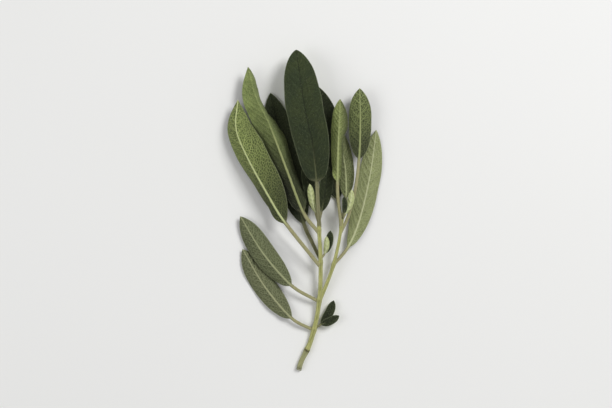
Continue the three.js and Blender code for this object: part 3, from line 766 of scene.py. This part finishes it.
class Finish:
    """A material, and the nodes that make up its colour, roughness and bump."""

    def __init__(self, name):
        self.material = bpy.data.materials.new(name)
        self.material.use_nodes = True
        self.tree = self.material.node_tree
        self.tree.nodes.clear()
        self.shader = self.node("BsdfPrincipled", {"Specular IOR Level": 0.25})
        self.node("OutputMaterial", {"Surface": self.shader.outputs["BSDF"]})

    def node(self, kind, inputs, **settings):
        made = self.tree.nodes.new("ShaderNode" + kind)
        for key, value in settings.items():
            setattr(made, key, value)
        self.feed(made, inputs)
        return made

    def feed(self, node, inputs):
        """Puts a number, a colour or another node's output into each named socket."""
        for key, value in inputs.items():
            if isinstance(value, bpy.types.NodeSocket):
                self.tree.links.new(value, node.inputs[key])
            else:
                node.inputs[key].default_value = value

    def value(self, name, output="Fac"):
        """What the mesh says of each point under a name."""
        return self.node("Attribute", {}, attribute_name=name).outputs[output]

    def math(self, kind, a, b=0.0):
        return self.node("Math", {0: a, 1: b}, operation=kind).outputs[0]

    def times(self, a, b):
        return self.math("MULTIPLY", a, b)

    def ramp(self, value, low, high, to_low=0.0, to_high=1.0):
        """A value's smooth way from low to high, turned into one between two others."""
        ends = {"From Min": low, "From Max": high, "To Min": to_low, "To Max": to_high}
        made = self.node("MapRange", {"Value": value, **ends}, interpolation_type="SMOOTHSTEP")
        return made.outputs["Result"]

    def mix(self, share, a, b):
        return self.node("Mix", {0: share, 6: a, 7: b}, data_type="RGBA").outputs[2]

    def between(self, share, tints):
        return self.mix(share, paint(*tints[0]), paint(*tints[1]))

    def over(self, colour, mask, tint, strength):
        """A colour with a tint laid over it where a mask is, at a strength."""
        return self.mix(self.times(mask, strength), colour, paint(*tint))

    def brighter(self, colour, factor):
        return self.node("HueSaturation", {"Color": colour, "Value": factor}).outputs["Color"]

    def noise(self, place, scale, detail=2.0, roughness=0.5):
        inputs = {"Vector": place, "Scale": scale, "Detail": detail, "Roughness": roughness}
        return self.node("TexNoise", inputs).outputs["Fac"]

    def to_border(self, place, scale):
        """How far each place is from the border of its cell, in millimetres."""
        kind = dict(voronoi_dimensions="2D", feature="DISTANCE_TO_EDGE")
        cells = self.node("TexVoronoi", {"Vector": place, "Scale": scale}, **kind)
        return self.math("DIVIDE", cells.outputs["Distance"], scale)

    def finish(self, colour, roughness, relief, depth, sheen, strength=1.0):
        """Gives the shader its colour, roughness, bump and sheen."""
        bump = self.node("Bump", {"Height": relief, "Distance": depth, "Strength": strength})
        self.feed(self.shader, {
            "Base Color": colour, "Roughness": roughness, "Normal": bump.outputs["Normal"],
            "Sheen Weight": sheen[0], "Sheen Tint": paint(*sheen[1]),
            "Sheen Roughness": SHEEN_ROUGHNESS,
        })
        return self.material


class Veins:
    """How strongly each part of a leaf's veining shows, from 0 to 1."""

    def __init__(self, f, pitch):
        self.flat = f.value("flat", "Vector")
        self.along, self.half = f.value("along"), f.value("half")
        spot = f.node("SeparateXYZ", {"Vector": self.flat})
        on_blade = f.math("SUBTRACT", 1.0, f.value("stalk"))
        from_rib = f.math("ABSOLUTE", spot.outputs["X"])
        rib_half = f.ramp(self.along, 0.0, 1.0, *RIB_LINE)
        self.rib = f.ramp(f.math("DIVIDE", from_rib, rib_half), 1.25, 0.7)
        self.off_rib = f.math("SUBTRACT", 1.0, self.rib)
        wavy = f.ramp(f.noise(self.flat, scale=0.55), 0.2, 0.8, -0.06, 0.06)
        order = f.math("ADD", f.value("order"), wavy)
        from_vein = f.times(f.math("PINGPONG", order, 0.5), ACROSS_VEINS * pitch)
        reach = f.math("ABSOLUTE", self.half)
        vein_half = f.ramp(reach, 0.0, 0.95, *VEIN_LINE)
        line = f.ramp(f.math("DIVIDE", from_vein, vein_half), 1.3, 0.6)
        self.side = f.times(f.times(line, on_blade), f.ramp(reach, 0.98, 0.7, 0.35, 1.0))
        net_depth = f.to_border(f.value("net", "Vector"), NET_SCALE)
        self.net = f.times(f.ramp(net_depth, *NET_LINE), on_blade)
        self.fine_depth = f.to_border(self.flat, FINE_NET_SCALE)
        self.fine = f.times(f.ramp(self.fine_depth, *FINE_NET_LINE), on_blade)
        self.margin = f.ramp(f.value("edge"), *MARGIN_LINE)
        self.hairs = f.ramp(f.noise(self.flat, scale=5.5, roughness=0.7), 0.5, 0.72)


def painted_light_and_shade(f, veins, look):
    """Painted light and shade: how much lighter or darker each place of a leaf is painted."""
    right = f.ramp(veins.along, 0.2, 0.8, look["right_foot"], look["right"])
    lit = f.math("ADD", f.times(veins.half, right), f.times(veins.along, look["tip"]))
    return f.times(f.ramp(veins.along, 0.15, 0.6, look["foot"], 1.0), f.math("ADD", 1.0, lit))


def upper_finish(name, look, pitch):
    """The upper face: dark, pebbled between sunken veins, with pale felt along the margin."""
    f = Finish(name)
    veins = Veins(f, pitch)
    deep = paint(*look["upper"][0])
    colour = f.between(f.ramp(f.noise(veins.flat, scale=0.1, detail=3.0), 0.3, 0.7), look["upper"])
    mottle = f.noise(veins.flat, scale=0.8, detail=3.0, roughness=0.75)
    colour = f.brighter(colour, f.ramp(mottle, 0.3, 0.7, 0.68, 1.36))
    pebble = f.ramp(veins.fine_depth, 0.02, 0.2)
    # Darker between the pebbles: painted shade in the hollows where the bump sinks.
    colour = f.mix(f.times(f.math("SUBTRACT", 1.0, pebble), 0.45), colour, darker(deep, 0.55))
    # The sunken net: its dark tint on most leaves is painted shade in the sunken lines; the hidden
    # leaves' paler tint is the veins' own colour.
    colour = f.over(colour, veins.net, look["upper_net"], 0.5)
    colour = f.over(colour, veins.side, *UPPER_SIDE_VEIN)
    # Painted light and shade laid over the upper face.
    colour = f.brighter(colour, painted_light_and_shade(f, veins, look))
    colour = f.over(colour, veins.hairs, *UPPER_FELT)
    colour = f.over(colour, veins.margin, *UPPER_MARGIN)
    # The rib's furrow on the upper face: dark along the blade, painted shade in the furrow; paler at the
    # foot, the rib's own colour.
    groove = f.between(f.ramp(veins.along, 0.0, 0.35), GROOVE)
    colour = f.mix(f.times(veins.rib, 0.7), colour, groove)
    stalk = f.between(f.noise(veins.flat, scale=0.6), UPPER_STALK)
    colour = f.mix(f.value("stalk"), colour, stalk)
    grain = f.noise(veins.flat, scale=4.0, detail=3.0, roughness=0.6)
    relief = f.math("ADD", f.times(pebble, 0.7), f.times(grain, 0.6))
    relief = f.math("SUBTRACT", relief, f.times(veins.net, 0.5))
    return f.finish(colour, f.ramp(veins.hairs, 0.0, 1.0, 0.66, 0.86), relief, UPPER_BUMP, UPPER_SHEEN)


def under_finish(name, look, pitch):
    """The underside: paler, with a raised pale middle rib, side veins and net."""
    f = Finish(name)
    veins = Veins(f, pitch)
    deep, clear = paint(*look["under"][0]), look["clear"]
    colour = f.between(f.ramp(f.noise(veins.flat, scale=0.16, detail=3.0), 0.35, 0.68), look["under"])
    mottle = f.noise(veins.flat, scale=0.7, detail=3.0, roughness=0.7)
    colour = f.brighter(colour, f.ramp(mottle, 0.3, 0.7, 0.86, 1.16))
    cushion = f.ramp(veins.fine_depth, 0.02, 0.18)
    colour = f.mix(f.times(cushion, 0.22), colour, darker(deep, 0.7))
    colour = f.over(colour, veins.fine, look["vein"], 0.3 * clear)
    colour = f.over(colour, veins.net, look["vein"], 0.8 * clear)
    colour = f.over(colour, veins.side, look["vein"], clear)
    # Painted light and shade laid over the underside.
    colour = f.brighter(colour, painted_light_and_shade(f, veins, look))
    colour = f.over(colour, veins.hairs, *UNDER_FELT)
    colour = f.over(colour, veins.margin, *UNDER_MARGIN)
    rib_clear = f.ramp(veins.along, 0.4, 0.7, 0.9, look["rib_tip"])
    colour = f.over(colour, veins.rib, look["rib"], rib_clear)
    stalk = f.between(f.noise(veins.flat, scale=0.6), UNDER_STALK)
    blotches = f.ramp(f.noise(veins.flat, scale=0.9, detail=3.0, roughness=0.6), 0.55, 0.68)
    stalk = f.over(stalk, blotches, *STALK_BLOTCH)
    colour = f.mix(f.value("stalk"), colour, stalk)
    lines = f.math("ADD", f.times(veins.net, 0.9), f.times(veins.side, 1.2))
    grain = f.noise(veins.flat, scale=4.5, detail=3.0, roughness=0.6)
    relief = f.math("ADD", f.times(lines, veins.off_rib), f.times(grain, 0.6))
    return f.finish(colour, f.ramp(veins.hairs, 0.0, 1.0, 0.7, 0.9), relief, UNDER_BUMP, UNDER_SHEEN)


def stem_finish():
    """The stem: streaked along its length, paler on its corners, with a line of painted shade along one
    furrow, marked at nodes and cut end.
    """
    f = Finish("stem_green")
    flat = f.value("flat", "Vector")
    stretched = f.node("Mapping", {"Vector": flat, "Scale": (1.0, 0.12, 1.0)})
    streaks = f.noise(stretched.outputs["Vector"], scale=1.5, detail=4.0, roughness=0.6)
    colour = f.between(f.ramp(streaks, 0.35, 0.65), STEM_GREEN)
    # Painted shade: a dark line along one furrow of the stem.
    colour = f.over(colour, f.value("furrow_shade"), *STEM_FURROW_SHADE)
    colour = f.over(colour, f.value("corner"), *STEM_CORNER)
    colour = f.over(colour, f.value("low"), *STEM_LOW)
    spots = f.ramp(f.noise(flat, scale=1.1, detail=3.0, roughness=0.6), 0.55, 0.68)
    colour = f.over(colour, spots, *STEM_SPOT)
    colour = f.over(colour, f.value("node"), *STEM_NODE)
    broken = f.ramp(f.noise(flat, scale=0.9), 0.32, 0.5)
    colour = f.over(colour, f.times(f.value("scar"), broken), *STEM_SCAR)
    colour = f.over(colour, f.value("end"), *STEM_END)
    hairs = f.ramp(f.noise(flat, scale=6.0, roughness=0.7), 0.5, 0.7)
    colour = f.over(colour, hairs, *STEM_FELT)
    colour = f.mix(f.value("rind"), colour, paint(*RIND))
    colour = f.mix(f.value("pith"), colour, paint(*PITH))
    relief = f.math("ADD", f.times(streaks, 0.8), f.times(hairs, 0.35))
    return f.finish(colour, f.ramp(hairs, 0.0, 1.0, 0.62, 0.84), relief, STEM_BUMP, STEM_SHEEN, 0.8)


def hair_finish():
    f = Finish("silver_hairs")
    f.feed(f.shader, {"Base Color": paint(*HAIR_TINT), "Roughness": 0.6})
    return f.material


DARK = (47, 58, 34), (60, 69, 37)
SHADED = (40, 46, 28), (52, 58, 36)
HIDDEN = (84, 94, 56), (98, 108, 68)


def look(under, vein, rib, clear, right=0.0, tip=0.0, upper=DARK, upper_net=(30, 37, 20),
         rib_tip=0.8, foot=1.0, right_foot=None):
    """A leaf's tints as deep and light, how clear its veins are, and how much painted light makes it
    lighter to the right and to the tip, painted shade where below 0. right_foot stands in for right at
    the foot, rib_tip is how clear the rib is at the tip, and foot is how bright painted shade leaves the
    foot."""
    return dict(
        under=under, vein=vein, rib=rib, clear=clear, right=right, tip=tip, upper=upper,
        upper_net=upper_net, rib_tip=rib_tip, foot=foot,
        right_foot=right if right_foot is None else right_foot,
    )


# right, tip, foot and right_foot below are painted light and shade on each leaf.
LOOKS = {
    "leaf_top": look(
        ((98, 108, 70), (112, 122, 82)), (150, 158, 116), (170, 174, 134), 0.8, right=0.12, tip=0.45),
    "leaf_top_left": look(
        ((63, 73, 37), (83, 93, 52)), (134, 142, 90), (154, 160, 108), 0.3, right=-0.9, tip=1.4,
        rib_tip=0.12, foot=0.24, right_foot=0.8),
    "leaf_middle_left": look(
        ((42, 55, 18), (58, 73, 28)), (160, 171, 102), (196, 204, 146), 0.9, right=-0.2, tip=0.4,
        foot=0.4),
    "leaf_middle_under": look(
        HIDDEN, (140, 148, 104), (160, 166, 122), 0.8, right=0.1, tip=0.3, upper=SHADED,
        upper_net=(78, 86, 62)),
    "leaf_lower_left": look(((66, 73, 46), (80, 87, 56)), (144, 150, 110), (160, 164, 124), 0.8),
    "leaf_lowest_left": look(((72, 79, 52), (86, 91, 61)), (146, 150, 112), (162, 164, 126), 0.8),
    "shoot_leaf_front": look(
        ((90, 103, 49), (114, 126, 67)), (172, 182, 118), (158, 166, 112), 0.7, right=-0.75,
        rib_tip=0.5),
    "shoot_leaf_under": look(HIDDEN, (140, 148, 104), (160, 166, 122), 0.8, tip=0.1, upper=SHADED),
    "shoot_leaf_inner": look(((86, 94, 54), (102, 110, 68)), (158, 164, 116), (172, 178, 132), 0.6),
    "shoot_leaf_outer": look(
        ((30, 38, 13), (42, 50, 20)), (126, 136, 84), (152, 160, 108), 0.9, tip=0.6, foot=0.45),
    "shoot_leaf_right": look(
        ((116, 124, 76), (136, 144, 94)), (180, 186, 140), (190, 194, 152), 0.7, tip=0.1),
}
YOUNG = look(
    ((166, 176, 116), (190, 198, 142)), (192, 198, 148), (196, 202, 156), 0.5, tip=0.2,
    upper=((42, 50, 27), (62, 70, 42)))

HAIR_FINISH = hair_finish()


def set_up(piece, hairs, node):
    """Puts a piece and its hairs on the root body, in place of a node of the part."""
    for thing in (piece, hairs):
        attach(thing, "root")
        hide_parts(node)


def add_leaves(node, name, parts, finishes, seed):
    whole = joined(parts)
    piece = add_mesh(name, whole["points"], whole["quads"].tolist(), finishes, whole["slots"],
                     whole["scalars"], whole["vectors"], whole["map"])
    hairs = add_hairs(node + "_hairs", whole["points"], whole["quads"], whole["fuzz"], seed)
    set_up(piece, hairs, node)


for node, leaf in LEAVES.items():
    finishes = [
        upper_finish(node + "_upper_face", LOOKS[node], leaf["pitch"]),
        under_finish(node + "_underside", LOOKS[node], leaf["pitch"]),
    ]
    add_leaves(node, node + "_blade", [Leaf(leaf).parts()], finishes, leaf["seed"])

young_finishes = [
    upper_finish("young_upper_face", YOUNG, YOUNG_PITCH),
    under_finish("young_underside", YOUNG, YOUNG_PITCH),
]
for node, leaves in TUFTS.items():
    parts = [Leaf(leaf).parts() for leaf in leaves]
    add_leaves(node, node + "_tuft", parts, young_finishes, leaves[0]["seed"])


def add_stem():
    """The main stem and its side shoot as one piece, with their hairs."""
    stems = [
        stem_parts(STEM_LINE, STEM_HALF, STEM_NODES, REST_LENGTH, 3, True),
        stem_parts(SHOOT_LINE, SHOOT_HALF, SHOOT_NODES, 0.0, 4, False),
    ]
    points = np.vstack([s["points"] for s in stems])
    shift = len(stems[0]["points"])
    quads = np.vstack([stems[0]["quads"], stems[1]["quads"] + shift])
    fans = stems[0]["fans"] + [[i + shift for i in f] for f in stems[1]["fans"]]
    scalars = {k: np.concatenate([s["scalars"][k] for s in stems]) for k in stems[0]["scalars"]}
    vectors = {"flat": np.vstack([s["flat"] for s in stems])}
    piece = add_mesh("sage_stem", points, quads.tolist() + fans, [stem_finish()], None, scalars, vectors)
    hairs = add_hairs("stem_hairs", points, quads, np.full(len(points), STEM_HAIRS), 5)
    set_up(piece, hairs, "stem")


add_stem()

# A plain pale floor, and soft light from the upper right. Lengths here are metres.
FLOOR_HALF = 4.0
SPRIG_MIDDLE = (0.003, 0.088, 0.0)
floor_finish = Finish("pale_floor")
floor_place = floor_finish.node("TexCoord", {}).outputs["Object"]
floor_colour = floor_finish.between(floor_finish.noise(floor_place, scale=3.0), FLOOR_TINTS)
floor_finish.feed(floor_finish.shader, {"Base Color": floor_colour, "Roughness": 0.8})
floor_corners = np.array([[-1, -1, 0], [1, -1, 0], [1, 1, 0], [-1, 1, 0]]) * FLOOR_HALF / MM
add_mesh("floor", floor_corners, [(0, 1, 2, 3)], [floor_finish.material])


def softbox(name, place, size, power):
    """A square lamp that faces the middle of the sprig."""
    lamp = bpy.data.lights.new(name, "AREA")
    lamp.size, lamp.energy = size, power
    thing = add_object(name, lamp)
    thing.location = place
    thing.rotation_mode = "QUATERNION"
    thing.rotation_quaternion = (Vector(SPRIG_MIDDLE) - Vector(place)).to_track_quat("-Z", "Y")


softbox("key_softbox", place=(0.75, 0.75, 1.1), size=0.55, power=14.0)
softbox("fill_softbox", place=(-0.95, -0.1, 1.0), size=0.9, power=4.5)

world = bpy.data.worlds.new("studio")
world.use_nodes = True
sky = world.node_tree.nodes["Background"].inputs
sky["Color"].default_value, sky["Strength"].default_value = (1.0, 1.0, 1.0, 1.0), 0.36
bpy.context.scene.world = world
bpy.context.scene.view_settings.view_transform = "Standard"

# The camera looks straight down, as the photograph does. One pixel is 0.564 mm at the height
# of the leaves, and the cut end lands at the pixel that it has in the photograph.
PIXEL = 0.564
IMAGE_WIDTH, IMAGE_HEIGHT = 612, 408
CUT_END_PIXEL = (299.6, 366)
LEAF_HEIGHT = 0.008
LENS, SENSOR = 150.0, 36.0
distance = IMAGE_WIDTH * PIXEL * MM * LENS / SENSOR
camera_data = bpy.data.cameras.new("camera")
camera_data.lens, camera_data.sensor_width = LENS, SENSOR
camera_data.clip_start, camera_data.clip_end = 0.05, 20.0
camera = add_object("camera", camera_data)
camera.location = (
    (IMAGE_WIDTH / 2 - CUT_END_PIXEL[0]) * PIXEL * MM,
    (CUT_END_PIXEL[1] - IMAGE_HEIGHT / 2) * PIXEL * MM,
    distance + LEAF_HEIGHT,
)
bpy.context.scene.camera = camera
